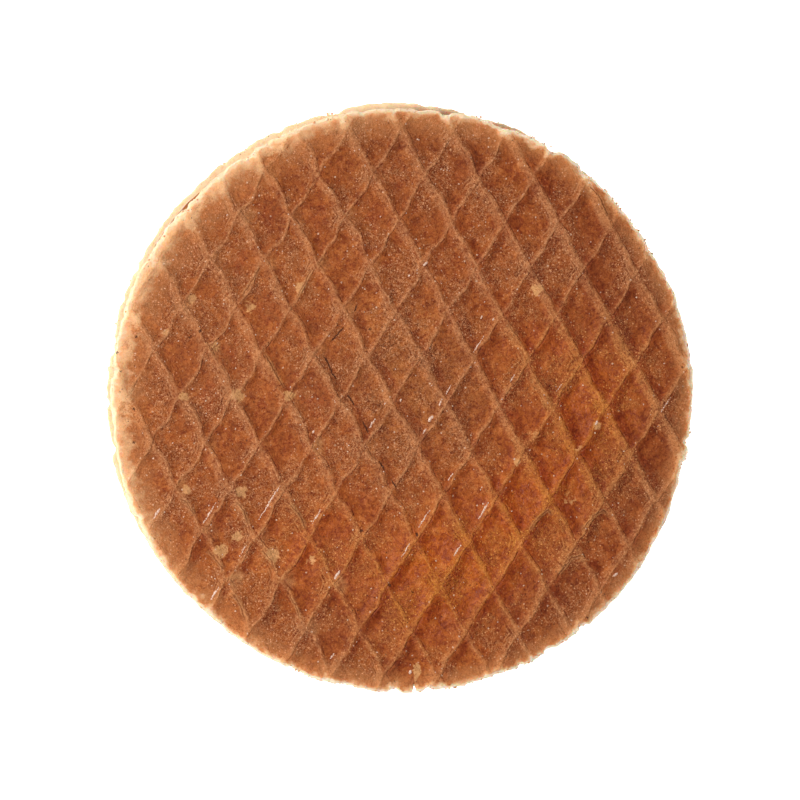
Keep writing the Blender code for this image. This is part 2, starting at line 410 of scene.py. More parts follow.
def lattice_sheet(name, sizes):
    """A flat sheet whose rows of faces run along the ridges, a little wider than the wafer."""
    across = CELLS_ACROSS * sizes.fineness
    bpy.ops.mesh.primitive_grid_add(x_subdivisions=across, y_subdivisions=across, size=CELLS_ACROSS)
    sheet = bpy.context.object
    sheet.name = sheet.data.name = name
    edit_whole(sheet)
    turn(math.radians(45))
    bpy.ops.transform.resize(value=(CELL_WIDTH / math.sqrt(2), CELL_HEIGHT / math.sqrt(2), 1))
    turn(LATTICE_LEAN)
    bpy.ops.transform.translate(value=MIDDLE_CROSSING)
    in_object_mode()
    select_points(sheet, lambda vert: vert.co.xy.length > sizes.radius + SHEET_MARGIN)
    bpy.ops.mesh.delete(type="VERT")
    in_object_mode()
    return sheet


def weigh(piece, group_name, weight_at):
    """Gives each point its weight in a new group."""
    weights = [weight_at(vert.co) for vert in piece.data.vertices]
    group = piece.vertex_groups.new(name=group_name)
    for index, weight in enumerate(weights):
        group.add([index], weight, "REPLACE")


def press_ridges(sheet, sizes):
    """Raises the ridges, which came out a little uneven, and makes the surface lumpy."""

    def weight_at(place):
        slow, quick = swing(place, 260, SLOW_PRESS_LAYER), swing(place, 700, QUICK_PRESS_LAYER)
        pressed = PRESSED + PRESSED_SLOW_SWING * slow + PRESSED_QUICK_SWING * quick
        return min(1.0, ridge_share(place, sizes) * pressed)

    weigh(sheet, "ridges", weight_at)
    apply_modifier(sheet, "DISPLACE", direction="Z", strength=sizes.ridge_height,
                   mid_level=0.0, vertex_group="ridges")
    for lump, depth, middle in SURFACE_LUMPS:
        roughen(sheet, lump, depth, middle=middle)


def thicken(sheet, depth):
    """Drops a skirt from the sheet's border and closes it below, which makes a slab."""
    in_edit_mode(sheet)
    bpy.ops.mesh.select_mode(type="EDGE")
    bpy.ops.mesh.select_all(action="SELECT")
    bpy.ops.mesh.region_to_loop()
    bpy.ops.mesh.extrude_edges_move()
    bpy.ops.transform.resize(value=(1, 1, 0), center_override=(0, 0, -depth))
    bpy.ops.mesh.edge_face_add()
    close_up()


def stacked_disc(name, radius, base, rises):
    """A solid disc that starts at a height and goes up by these rises, with a ring of points at each."""
    bpy.ops.mesh.primitive_circle_add(vertices=EDGE_SEGMENTS, radius=radius, fill_type="NGON",
                                      location=(0, 0, base))
    disc = bpy.context.object
    disc.name = disc.data.name = name
    bpy.ops.object.transform_apply(location=True, rotation=True, scale=True)
    edit_whole(disc)
    for rise in rises:
        bpy.ops.mesh.extrude_region_move(TRANSFORM_OT_translate={"value": (0, 0, rise)})
    close_up()
    return disc


def edge_cutter(sizes, layer, chips):
    """The solid inside a wafer's crumbly cut edge. Its lower end is the wafer's flat back."""
    body = sizes.thickness - sizes.ridge_height
    rises = [(share - below) * sizes.thickness
             for (below, _), (share, _) in zip(EDGE_PROFILE, EDGE_PROFILE[1:])]
    cutter = stacked_disc("edge_cutter", sizes.radius, -body, rises)
    for vert in cutter.data.vertices:
        azimuth = math.atan2(vert.co.y, vert.co.x)
        share = (vert.co.z + body) / sizes.thickness
        back_off = next(lie for level, lie in EDGE_PROFILE if share < level + 0.01)
        radius = edge_radius(azimuth, sizes.radius, layer) - back_off * edge_loss(azimuth, chips)
        if layer == TOP_LAYER:
            off_split = abs(math.remainder(azimuth - SPLIT_AZIMUTH, 2 * math.pi)) * sizes.radius
            radius -= SPLIT_LENGTH * max(0.0, 1 - off_split / (SPLIT_WIDTH / 2))
        place = Vector((vert.co.x, vert.co.y, vert.co.z + layer))
        radius += CRUMB_DEPTH / 2 * noise.noise(place * CRUMB_PER_METRE)
        vert.co = (radius * math.cos(azimuth), radius * math.sin(azimuth), vert.co.z)
    return cutter


def cut_round(slab, sizes, layer, chips):
    """Trims the slab to its crumbly round edge."""
    cutter = edge_cutter(sizes, layer, chips)
    apply_modifier(slab, "BOOLEAN", object=cutter, operation="INTERSECT", solver="EXACT")
    bpy.data.objects.remove(cutter)
    edit_whole(slab)
    bpy.ops.mesh.remove_doubles(threshold=WELD)
    close_up()


def place_piece(piece, turned_over, low, high):
    """Lays the piece into the box between low and high, ridges down if it is turned over."""
    edit_whole(piece)
    if turned_over:
        turn(math.pi, axis="X")
    in_object_mode()
    axes = list(zip(*(vert.co for vert in piece.data.vertices)))
    least, most = Vector(map(min, axes)), Vector(map(max, axes))
    fit = [(high[i] - low[i]) / (most[i] - least[i]) for i in range(3)]
    edit_whole(piece)
    bpy.ops.transform.resize(value=fit, center_override=least)
    bpy.ops.transform.translate(value=low - least)
    in_object_mode()


def slip():
    """The way from the middle of the top wafer to that of the bottom one."""
    return SLIP * Vector((math.cos(SLIP_AZIMUTH), math.sin(SLIP_AZIMUTH), 0))


def make_wafer(name, sizes, layer, chips, turned_over, low, high):
    """Models a whole wafer: a ridged sheet, thickened, cut round, painted and laid in its place."""
    deselect_everything()
    wafer = lattice_sheet(name, sizes)
    press_ridges(wafer, sizes)
    thicken(wafer, sizes.thickness)
    cut_round(wafer, sizes, layer, chips)
    paint_bake(wafer, sizes, layer)
    roughen(wafer, RIDGE_SWAY_LUMP, RIDGE_SWAY, direction="X", detail=0)
    roughen(wafer, RIDGE_SWAY_LUMP, RIDGE_SWAY, direction="Y", detail=0)
    place_piece(wafer, turned_over, low, high)
    return wafer


# --------------------------------------
# Finishes


class Value:
    """A number or a colour in a finish. Sums written with it become nodes."""

    def __init__(self, finish, socket):
        self.finish = finish
        self.socket = socket

    def __add__(self, other):
        return self.finish.sum("ADD", self, other)

    def __sub__(self, other):
        return self.finish.sum("SUBTRACT", self, other)

    def __mul__(self, other):
        return self.finish.sum("MULTIPLY", self, other)

    def __abs__(self):
        return self.finish.sum("ABSOLUTE", self)

    def most(self, other):
        return self.finish.sum("MAXIMUM", self, other)

    def clamped(self):
        """The same, kept between 0 and 1."""
        self.socket.node.use_clamp = True
        return self

    def span(self, low, high, to_low=0.0, to_high=1.0):
        """Eases from to_low to to_high as the value goes from low to high."""
        ends = {"Value": self, "From Min": low, "From Max": high, "To Min": to_low, "To Max": to_high}
        return self.finish.node("MapRange", ends, "Result", interpolation_type="SMOOTHSTEP")

    def near(self, level, wide, narrow):
        """1 where the value is within narrow of the level, easing to 0 at wide from it."""
        return abs(self - level).span(wide, narrow)


class Finish:
    """A material, and short names for the nodes that it is made of."""

    def __init__(self, name):
        self.material = bpy.data.materials.new(name)
        self.material.use_nodes = True
        self.nodes = self.material.node_tree.nodes
        self.links = self.material.node_tree.links
        self.shader = self.nodes["Principled BSDF"]

    def feed(self, socket, value):
        """Links a value to the socket, or sets a plain number or colour on it."""
        if isinstance(value, Value):
            self.links.new(value.socket, socket)
        elif socket.type == "RGBA" and len(value) == 3:
            socket.default_value = (*value, 1.0)
        else:
            socket.default_value = value

    def node(self, kind, inputs=(), output=0, **settings):
        """The value of one output of a new node."""
        made = self.nodes.new("ShaderNode" + kind)
        for name, value in settings.items():
            setattr(made, name, value)
        for name, value in dict(inputs).items():
            self.feed(made.inputs[name], value)
        return Value(self, made.outputs[output])

    def outputs(self, kind, inputs):
        """All the outputs of a node."""
        return [Value(self, socket) for socket in self.node(kind, inputs).socket.node.outputs]

    def sum(self, operation, first, second=0.0):
        return self.node("Math", {0: first, 1: second}, operation=operation)

    def mix(self, share, first, second):
        """The first colour, with a share of the second over it."""
        return self.node("Mix", {0: share, 6: first, 7: second}, 2, data_type="RGBA")

    def toned(self, colour, gains):
        """The colour with its red, green and blue multiplied."""
        return self.node("VectorMath", {0: colour, 1: gains}, operation="MULTIPLY")

    def tint(self, share, colour, gains):
        """The colour, with a share of its toned self over it."""
        return self.mix(share, colour, self.toned(colour, gains))

    def place(self):
        return self.node("TexCoord", output="Object")

    def noise(self, place, size, detail=2.0, roughness=0.55, sway=0.0):
        """Cloudy noise whose lumps are about this size in millimetres."""
        return self.node("TexNoise", {"Vector": place, "Scale": 1 / (size * MM), "Detail": detail,
                                      "Roughness": roughness, "Distortion": sway})

    def specks(self, place, size, spread, share):
        """Round specks of a size in millimetres, one in a share of the cells of a spread."""
        distance, chance, *_ = self.outputs("TexVoronoi", {"Vector": place, "Scale": 1 / (spread * MM)})
        near = distance.span(size / spread, 0.4 * size / spread)
        return near * self.sum("LESS_THAN", self.node("SeparateColor", {"Color": chance}), share)

    def bump(self, layers):
        """The way the surface faces, with relief from values and how many millimetres each stands for."""
        height = None
        for value, depth in layers:
            layer = value * (depth * MM)
            height = layer if height is None else height + layer
        return self.node("Bump", {"Height": height, "Distance": 1.0})

    def shade(self, inputs):
        """Feeds the shader and gives back the material."""
        for name, value in inputs.items():
            self.feed(self.shader.inputs[name], value)
        return self.material


# What red, green and blue are multiplied by in the paler and darker parts of the dough. The groove, dip and
# foot tones paint shade, and the pit tone paints shade between grains.
PALE_DRIFT, DARK_DRIFT = (1.22, 1.32, 1.50), (0.74, 0.64, 0.55)
PALE_SWIRL, DARK_SWIRL = (1.28, 1.44, 1.64), (0.70, 0.50, 0.37)
GROOVE_SHADE_TONE, DIP_SHADE_TONE, FOOT_SHADE_TONE = (0.68, 0.45, 0.38), (0.66, 0.50, 0.44), (0.73, 0.46, 0.37)
PIT_SHADE_TONE, LIT_GRAIN_TONE, FLECK_TONE = (0.57, 0.37, 0.20), (1.14, 1.17, 1.22), (1.30, 1.45, 1.75)
PALE_SIDE_CRUMB, GRITTY_CRUMB = (0.90, 0.84, 0.74), (0.86, 0.74, 0.60)

# Places on the lattice, in shares of its pitch: a groove right of each family's crest, the line of the
# crest itself, and the folds that echo a cell's right corner, each with a dip beside it. The finish paints
# a highlight on the crest line and the folds, and shade in the grooves and dips.
GROOVE_PLACES = (0.070, 0.045)
CREST_LINE = -0.008
FOLD_LEVELS = (-0.115, -0.185)
DIP_BESIDE_FOLD = -0.028

# How little baked dough mirrors: its specular level
DOUGH_SPECULAR = 0.22


def dough_finish(name, colours):
    """Baked dough. The look of each place comes from what paint_bake wrote there, and from noise."""
    finish = Finish(name)
    mix, tint, noisy = finish.mix, finish.tint, finish.noise
    place = finish.place()

    def painted(attribute):
        vector = finish.node("Attribute", output="Vector", attribute_name=attribute)
        return finish.outputs("SeparateXYZ", {"Vector": vector})

    first_along, second_along, corner = painted("lattice")
    soaked, dry, inside = painted("bake")
    # Painted light on the lit flanks, browning with painted shade at the ridges' feet, and red cell middles
    light, painted_foot_shade, spot = painted("tones")
    browned, pale, crackly = painted("patches")
    crease_away, crease_near, crack_near = painted("creases")

    grit = noisy(place, 0.55, 2.0, 0.6)
    lumps = noisy(place, 1.5, 3.0, 0.6)
    clouds = noisy(place, 4.5, 2.0, 0.5)
    drifts = noisy(place, 6.5, 1.0, 0.5)
    hairs = noisy(place, 1.1, 2.0, 0.5)
    swirl = noisy(place, 1.1, 3.0, 0.6, sway=1.6)
    sand = noisy(place, 0.24, 2.0, 0.65, sway=0.9)
    dust = noisy(place, 0.13, 1.0, 0.5, sway=0.5)
    curls = noisy(place, 0.42, 1.0, 0.5, sway=0.8)
    gaps = noisy(place, 0.52, 1.0, 0.5, sway=0.8)

    # Zones of the bake
    colour = mix(soaked, colours.floor, colours.soaked)
    colour = mix(dry, colour, colours.dry)
    colour = mix(lumps.span(0.50, 0.68, 0.0, 0.40), colour, colours.mottle)
    colour = mix(clouds.span(0.48, 0.72, 0.0, 0.40), colour, colours.browned)
    colour = tint(drifts.span(0.52, 0.68, 0.0, 0.45), colour, PALE_DRIFT)
    colour = tint(drifts.span(0.48, 0.32, 0.0, 0.50), colour, DARK_DRIFT)
    colour = mix(browned, colour, colours.browned)
    colour = mix(spot * lumps.span(0.38, 0.52), colour, colours.spot)
    colour = tint(swirl.span(0.51, 0.62, 0.0, 0.70), colour, PALE_SWIRL)
    colour = tint(swirl.span(0.49, 0.38, 0.0, 0.90), colour, DARK_SWIRL)

    # Paler crests with painted light on the flanks that face the lamp, and browning with painted shade at
    # the feet of the ridges
    lit_here = mix(soaked, colours.lit, colours.lit_soaked)
    colour = mix(light * swirl.span(0.36, 0.58, 0.30, 1.0) * 0.66, colour, lit_here)
    # A painted highlight along each crest line, and painted shade in a thin groove on the crest's side away
    # from the lamp
    aways = [finish.sum("FRACT", along + 0.5) - 0.5 for along in (first_along, second_along)]
    thin = aways[0].near(CREST_LINE, 0.032, 0.008).most(aways[1].near(CREST_LINE, 0.032, 0.008))
    thin = thin * grit.span(0.35, 0.6, 0.1, 0.65)
    grooves = [away.near(level, 0.024, 0.006) for away, level in zip(aways, GROOVE_PLACES)]
    groove = grooves[0].most(grooves[1]) * hairs.span(0.42, 0.60)
    colour = mix(thin * 0.85, colour, lit_here)
    colour = tint(groove * 0.62, colour, GROOVE_SHADE_TONE)

    # Folds that echo the right corner of a cell: a painted highlight on each fold and painted shade in the
    # dip beside it
    echo = aways[0].most(aways[1]) + (lumps - 0.5) * 0.10
    where = (aways[0] + aways[1]).span(-0.62, -0.40) * clouds.span(0.42, 0.54)
    folds = [echo.near(level, 0.022, 0.006) for level in FOLD_LEVELS]
    dips = [echo.near(level + DIP_BESIDE_FOLD, 0.020, 0.006) for level in FOLD_LEVELS]
    fold = folds[0].most(folds[1]) * where
    dip = dips[0].most(dips[1]) * where
    colour = mix(fold * 0.5, colour, lit_here)
    colour = tint(dip * 0.6, colour, DIP_SHADE_TONE)
    # Browning with painted shade at the feet of the ridges, away from the lamp
    colour = tint(painted_foot_shade, colour, FOOT_SHADE_TONE)

    # Pale places: left corners of cells, patches and the lips of creases
    blotch = (pale + (swirl - 0.5) * 2.4).span(0.35, 0.80, 0.0, 0.75) * pale.span(0.1, 0.4)
    off_line = abs(crease_away + (grit - 0.5) * 0.5)
    lips = off_line.span(0.40, 0.15) * crease_near
    pale_share = (corner * lumps.span(0.35, 0.6, 0.3, 1.0)).most(blotch).most(lips * 0.30)
    colour = mix(pale_share, colour, colours.pale)

    # The edge: tan where it browned less, with an uneven border
    ragged = inside + (lumps - 0.5) * 3.2 + (grit - 0.5) * 0.8 - light * 0.9
    colour = mix(ragged.span(4.2, 1.2, 0.0, 0.45), colour, colours.tan)
    colour = mix(ragged.span(1.7, 0.6, 0.0, 0.80), colour, colours.tan)
    towards_pale = finish.node("VectorMath", {0: place, 1: (math.cos(PALE_SIDE), math.sin(PALE_SIDE), 0.0)},
                               "Value", operation="DOT_PRODUCT")
    colour = mix(ragged.span(1.8, 0.8, 0.0, 0.80) * towards_pale.span(0.014, 0.032), colour, colours.bare)

    # Grain: lit grains are painted paler as painted highlights, most on the lit flanks, and the gaps
    # between them redder and darker as painted shade
    grain = sand * 0.65 + dust * 0.35
    grainy = light * 0.75 + dry * 0.35 + clouds.span(0.42, 0.60, 0.05, 0.75)
    grainy = grainy + towards_pale.span(-0.005, 0.025, 0.0, 0.10)
    grainy = (grainy * soaked.span(0.0, 1.0, 1.0, 0.90)).clamped()
    pitted = (dry * 0.40 + clouds.span(0.58, 0.42, 0.30, 0.90) + light * 0.35).clamped()
    curl = abs(curls - 0.5).span(0.040, 0.010, 0.0, 0.8)
    gap = abs(gaps - 0.5).span(0.034, 0.008, 0.0, 0.8)
    lit = grain.span(0.53, 0.64).most(curl) * grainy
    pit_shade = grain.span(0.47, 0.37).most(gap) * pitted
    colour = tint(pit_shade, colour, PIT_SHADE_TONE)
    colour = mix(lit * 0.95, colour, finish.toned(lit_here, LIT_GRAIN_TONE))
    tone = lumps.span(0.25, 0.75, 0.885, 1.085) * grit.span(0.25, 0.75, 0.88, 1.12)
    tone = tone * towards_pale.span(0.0, 0.03, 1.0, 0.92)
    colour = finish.node("VectorMath", {0: colour, "Scale": tone}, operation="SCALE")

    # The bare rim and its crumb. The crumb is painted brighter away from the pale side, a painted glow
    # where the rim turns from the lamp.
    colour = mix(ragged.span(1.1, 0.3, 0.0, 0.70), colour, colours.bare)
    rim = mix(towards_pale.span(-0.01, 0.03), colours.crumb, finish.toned(colours.crumb, PALE_SIDE_CRUMB))
    rim = tint(grit.span(0.50, 0.36, 0.0, 0.45), rim, GRITTY_CRUMB)
    colour = mix(ragged.span(0.40, -0.25), colour, rim)
    outermost = inside + (grit - 0.5) * 0.9
    colour = mix(outermost.span(0.62, 0.26, 0.0, 0.90), colour, rim)

    # Specks, pores, hairlines and cracks. Sparkles are painted glints; pores, hairlines, crease lines and
    # cracks are painted near black and brown as painted shade in their hollows, and burnt specks share the
    # near black as char.
    sparkles = finish.specks(place, 0.17, 0.80, 0.16) * dust.span(0.40, 0.58)
    colour = mix(sparkles * 0.8, colour, colours.sparkle)
    flecks = finish.specks(place, 0.13, 0.40, 0.36) * clouds.span(0.38, 0.56, 0.20, 0.85)
    colour = mix(flecks, colour, finish.toned(lit_here, FLECK_TONE))
    hairline = hairs.near(0.5, 0.022, 0.006) * clouds.span(0.46, 0.60) * crackly
    holes = finish.specks(place, 0.12, 0.95, 0.45).most(hairline * 0.7)
    line = off_line.span(0.10, 0.03) * crease_near
    crack = off_line.span(0.13, 0.05) * crack_near
    colour = mix(holes * 0.75, colour, colours.pore)
    colour = mix(line * 0.7, colour, colours.browned)
    colour = mix(crack * 0.9, colour, colours.pore)

    facing = finish.bump((
        (grain * (grainy + 0.4), 0.20), (grit, 0.16), (lumps, 0.14), (thin, 0.05), (groove, -0.07),
        (holes, -0.05), (line + crack, -0.08), (lips, 0.05), (fold - dip, 0.05),
    ))
    return finish.shade({
        "Base Color": colour,
        "Normal": facing,
        "Roughness": soaked.span(0.0, 1.0, 0.78, 0.50) - sparkles * 0.25,
        "Specular IOR Level": DOUGH_SPECULAR,
        "Coat Weight": (soaked * 0.14 + 0.03) * grit.span(0.42, 0.62),
        "Coat Normal": facing,
        "Coat Roughness": 0.30,
        "Subsurface Weight": inside.span(2.2, 0.3, 0.0, 0.8),
        "Subsurface Radius": (1.0, 0.5, 0.25),
        "Subsurface Scale": 1.2 * MM,
    })


def bead_finish(colours):
    """Set syrup: pale where sugar grained in it, and glossy. The pale colour is also a painted highlight,
    as the beads stand for glints along the crests.
    """
    finish = Finish("set_syrup")
    grain = finish.noise(finish.place(), 0.12, 2.0)
    return finish.shade({
        "Base Color": finish.mix(grain.span(0.35, 0.65), colours.glaze, colours.sugar),
        "Roughness": grain.span(0.3, 0.7, 0.15, 0.4),
        "Normal": finish.bump([(grain, 0.05)]),
    })


def syrup_finish(colours):
    """Caramel syrup: glossy amber, lighter where it is thin, with streaks and small bubbles."""
    finish = Finish("amber_syrup")
    place = finish.place()
    clouds = finish.noise(place, 1.6, 3.0, sway=0.6)
    drawn_out = finish.toned(place, (1.0, 1.0, 0.25))
    streaks = finish.noise(drawn_out, 0.5, 2.0)
    cells = {"Vector": place, "Scale": 1 / (0.9 * MM)}
    bubble = finish.node("TexVoronoi", cells, "Distance").span(0.26, 0.12)
    colour = finish.mix(clouds.span(0.38, 0.64), colours.body, colours.thin)
    colour = finish.mix(streaks.span(0.45, 0.70, 0.0, 0.5), colour, colours.deep)
    colour = finish.mix(bubble * 0.35, colour, colours.glaze)
    return finish.shade({
        "Base Color": colour,
        "Roughness": streaks.span(0.3, 0.7, 0.16, 0.38),
        "Normal": finish.bump(((clouds, 0.20), (streaks, 0.08), (bubble, 0.04))),
        "Coat Weight": 0.5,
        "Coat Roughness": 0.12,
    })


def crumb_finish(colours):
    """Loose crumb: pale, and browned here and there."""
    finish = Finish("loose_crumb")
    place = finish.place()
    grain = finish.noise(place, 0.5, 3.0)
    fine = finish.noise(place, 0.15, 2.0)
    colour = finish.mix(grain.span(0.40, 0.62), colours.crumb, colours.tan)
    colour = finish.mix(grain.span(0.62, 0.75), colour, colours.floor)
    return finish.shade({
        "Base Color": colour,
        "Roughness": fine.span(0.3, 0.7, 0.7, 0.9),
        "Normal": finish.bump([(fine, 0.10)]),
        "Specular IOR Level": DOUGH_SPECULAR,
    })


# --------------------------------------
# What the bake left where


Patch = namedtuple("Patch", "x y radius strength")


def patches(*rows):
    """Soft round patches, each by its x, y and radius in millimetres, and its strength."""
    return tuple(Patch(*row) for row in rows)


SOAKED_PATCHES = patches(
    (9, -22, 9, 0.9), (19, -14, 8, 0.8), (26, -4, 8, 0.8), (0, -27, 8, 0.8), (-12, -20, 7, 0.6),
    (28, 6, 8, 0.5), (17, 7, 6, 0.4), (-28, -30, 6, 0.3),
)
DRY_PATCHES = patches((0, 7, 8, 0.8), (5, 0, 7, 0.9), (-2, -5, 6, 0.5), (1, 33, 8, 0.3))
BROWNED_PATCHES = patches(
    (26, 24, 9, 0.30), (30, 13, 8, 0.5), (34, -11, 9, 0.55), (22, -29, 7, 0.55), (6, 32, 9, 0.35),
    (-2, -28, 6, 0.35), (-11, 1, 6, 0.25), (-27, 4, 5, 0.3), (-11, -32, 6, 0.4),
)
CRACKLY_PATCHES = patches((0, 3, 14, 1.0), (-30, 12, 9, 0.6), (18, 4, 9, 0.5), (-22, -20, 9, 0.4))
# Places that hardly browned, beside the ridges
PALE_PATCHES = patches(
    (-28.6, 13.8, 0.59, 1.36), (-20.7, 12.7, 0.85, 1.02), (-25.4, 7.2, 0.59, 1.36),
    (-29.7, 0.5, 0.68, 1.53), (-22.5, 0.5, 0.77, 1.7), (-15.3, 0.7, 0.77, 1.36), (-13.8, 15.4, 0.68, 1.36),
    (18.3, 15.1, 0.77, 1.53), (-22.0, -12.6, 0.77, 1.36), (-24.8, -20.7, 0.85, 1.53),
    (-22.6, -18.7, 0.77, 1.36), (-17.7, -21.2, 1.02, 1.36), (-29.3, -12.3, 0.68, 1.36),
    (22.5, -13.7, 1.2, 0.55), (19.1, -19.1, 1.3, 0.5), (15.6, -8.4, 0.42, 1.7), (24.0, -6.6, 0.8, 0.6),
    (26.6, -3.5, 0.59, 1.19), (18.1, -4.7, 0.9, 0.55), (-32.1, 9.4, 0.59, 0.85), (-12.5, -21.8, 0.77, 0.85),
    (1.95, -36.5, 0.40, 2.5), (2.05, -37.1, 0.40, 2.5), (1.90, -37.8, 0.20, 2.0), (1.80, -38.3, 0.20, 2.0),
)

# Creases and cracks of the top wafer as the points that they run through, in millimetres
CREASES = (
    ((-12.2, 18.0), (-13.3, 15.8), (-14.4, 13.8)), ((-19.3, 18.1), (-20.6, 16.1), (-22.0, 13.9)),
    ((-26.6, 8.2), (-26.0, 6.8), (-24.7, 7.9)), ((-18.8, 6.7), (-17.4, 4.0), (-16.0, 1.5)),
    ((-22.8, -13.7), (-21.7, -15.0), (-20.9, -17.4)), ((-15.5, -13.9), (-13.8, -15.8), (-13.0, -17.7)),
    ((-23.3, -26.1), (-22.0, -27.8), (-21.2, -30.2)), ((-19.3, -20.4), (-17.9, -21.8), (-17.4, -23.1)),
    ((-26.6, -20.4), (-25.4, -21.8), (-24.4, -23.1)), ((-15.5, -26.4), (-14.6, -27.9), (-13.8, -29.9)),
    ((-30.4, -13.4), (-29.3, -13.9), (-28.2, -15.8)),
    ((17.2, -18.0), (18.2, -16.4), (19.8, -15.0), (20.6, -15.8)),
    ((24.2, -18.0), (26.1, -15.8), (27.4, -15.1), (28.2, -16.1)),
    ((21.2, -24.0), (23.1, -21.5), (25.0, -21.2)), ((25.3, 29.4), (26.9, 27.7), (28.1, 25.2)),
)
CRACKS = (
    ((-7.9, 10.0), (-8.8, 8.9), (-9.8, 7.9)), ((-10.8, 6.3), (-10.2, 5.6), (-9.4, 3.7), (-8.7, 2.6)),
    ((-6.2, 12.9), (-6.6, 11.9)), ((-7.5, 0.7), (-6.5, -0.9)), ((-5.6, -2.9), (-4.7, -4.7)),
    ((-3.1, -8.4), (-2.4, -9.6)), ((-1.5, -10.8), (-0.8, -12.0)),
)
NO_CREASE = (1.0, 0.0, 0.0)
CREASE_REACH = 9

# Burnt specks on the top wafer, in millimetres
BURNT_SPECKS = (
    (-27.5, 9.3), (-28.8, 8.6), (-36.2, 8.6), (-38.5, 1.1), (-36.5, -1.3), (-38.8, 6.4), (-38.3, 3.9),
    (38.1, 4.5), (-34.6, 20.1), (-36.5, -5.8), (25.0, -29.8), (1.4, -26.1), (-1.6, -25.2),
    (-5.4, -17.7), (2.0, -18.4), (-4.5, 9.6),
)
SPECK_RADIUS = 0.14

# Beads of set syrup: x, y, length along the second family of ridges, and width, in millimetres
SECOND_RIDGES_RUN = math.radians(58)
BEAD_STEP = 0.32
ABOVE_WAFEL = 20 * MM
BEAD_SWAY, BEAD_SWAY_PER_METRE = 0.10, 1400
BEAD_FULLNESS = 0.66
BEAD_FLATNESS, BEAD_SINK = 0.6, 0.2
FINE_BEAD = 0.15 * MM
BEAD_ROUGH_LUMP, BEAD_ROUGHNESS = 0.25 * MM, 0.10 * MM
# The beads lie where the crests glint, and their pale colour is partly a painted highlight
SYRUP_BEADS = (
    (4.2, -2.9, 0.6, 0.50), (5.6, -0.6, 1.1, 0.34), (6.6, 1.0, 1.5, 0.28), (6.9, -10.8, 1.2, 0.32),
    (11.4, -15.4, 2.8, 0.32), (7.8, -20.8, 2.0, 0.30), (3.3, -16.5, 2.9, 0.26), (0.8, -20.8, 2.2, 0.26),
    (10.7, 7.2, 2.8, 0.28), (29.3, -24.1, 0.4, 0.50), (-33.0, -15.8, 1.7, 0.40), (-25.8, -15.7, 3.4, 0.28),
    (-17.7, -14.3, 5.6, 0.28), (-11.3, -16.2, 2.4, 0.30), (-25.1, -26.6, 2.1, 0.38),
    (-21.3, -20.8, 2.0, 0.26), (-8.5, -24.1, 1.2, 0.55), (-9.2, -35.2, 0.9, 0.30), (3.5, 18.1, 0.3, 0.36),
    (11.1, 10.9, 0.3, 0.36), (12.7, 10.6, 0.3, 0.42), (3.4, -4.6, 0.9, 0.28), (0.1, -0.4, 0.3, 0.30),
    (-2.0, -0.8, 0.3, 0.34), (-3.7, -3.5, 1.5, 0.30), (-11.7, -4.7, 0.4, 0.36), (15.3, 2.6, 1.2, 0.28),
    (21.7, 1.4, 1.0, 0.26), (11.1, -12.4, 0.6, 0.30), (15.6, -8.4, 0.3, 0.32), (26.7, -3.5, 0.5, 0.30),
    (36.1, -1.0, 2.6, 0.24), (1.2, 16.5, 0.3, 0.28), (1.4, -37.3, 0.3, 0.34),
)
# Loose grains of set syrup lie within this reach of the middle, and crumbs cling to both edges
GRAIN_COUNT, GRAIN_REACH = 220, 38.5 * MM
CRUMB_COUNT = 420
CRUMB_ROUGH_LUMP, CRUMB_ROUGHNESS = 0.2 * MM, 0.12 * MM
BEAD_CHANCE, CRUMB_CHANCE = 5, 9


def patchiness(place, here):
    """How strong these patches are at a place, 1 at most."""
    total = 0.0
    for patch in here:
        away = (place.xy / MM - Vector((patch.x, patch.y))).length / patch.radius
        if away < 3:
            total += patch.strength * math.exp(-away * away)
    return min(1.0, total)


def beside_crease(place, creases):
    """The signed distance from the nearest crease in millimetres, and how near it and its ends are."""
    spot = place.xy / MM
    best, nearness = 1.0, 0.0
    for points in creases:
        if (spot - Vector(points[0])).length > CREASE_REACH:
            continue
        total = sum((Vector(b) - Vector(a)).length for a, b in zip(points, points[1:]))
        run = 0.0
        for start, end in zip(points, points[1:]):
            start, end = Vector(start), Vector(end)
            along = end - start
            share = min(1.0, max(0.0, (spot - start).dot(along) / along.length_squared))
            away = spot - start - share * along
            if away.length < abs(best):
                side = along.x * away.y - along.y * away.x
                best = math.copysign(away.length, side)
                place_on = (run + share * along.length) / total
                nearness = ease((0.9 - away.length) / 0.4) * ease(min(place_on, 1 - place_on) / 0.15)
            run += along.length
    return best, nearness


def write_attribute(piece, name, vectors):
    """Keeps three numbers for each point, under a name that a finish reads."""
    made = piece.data.attributes.new(name, "FLOAT_VECTOR", "POINT")
    made.data.foreach_set("vector", [number for vector in vectors for number in vector])


def band(away, low, high, soft):
    """1 between low and high, easing to 0 outside them."""
    return ease((away - low) / soft + 0.5) * ease((high - away) / soft + 0.5)


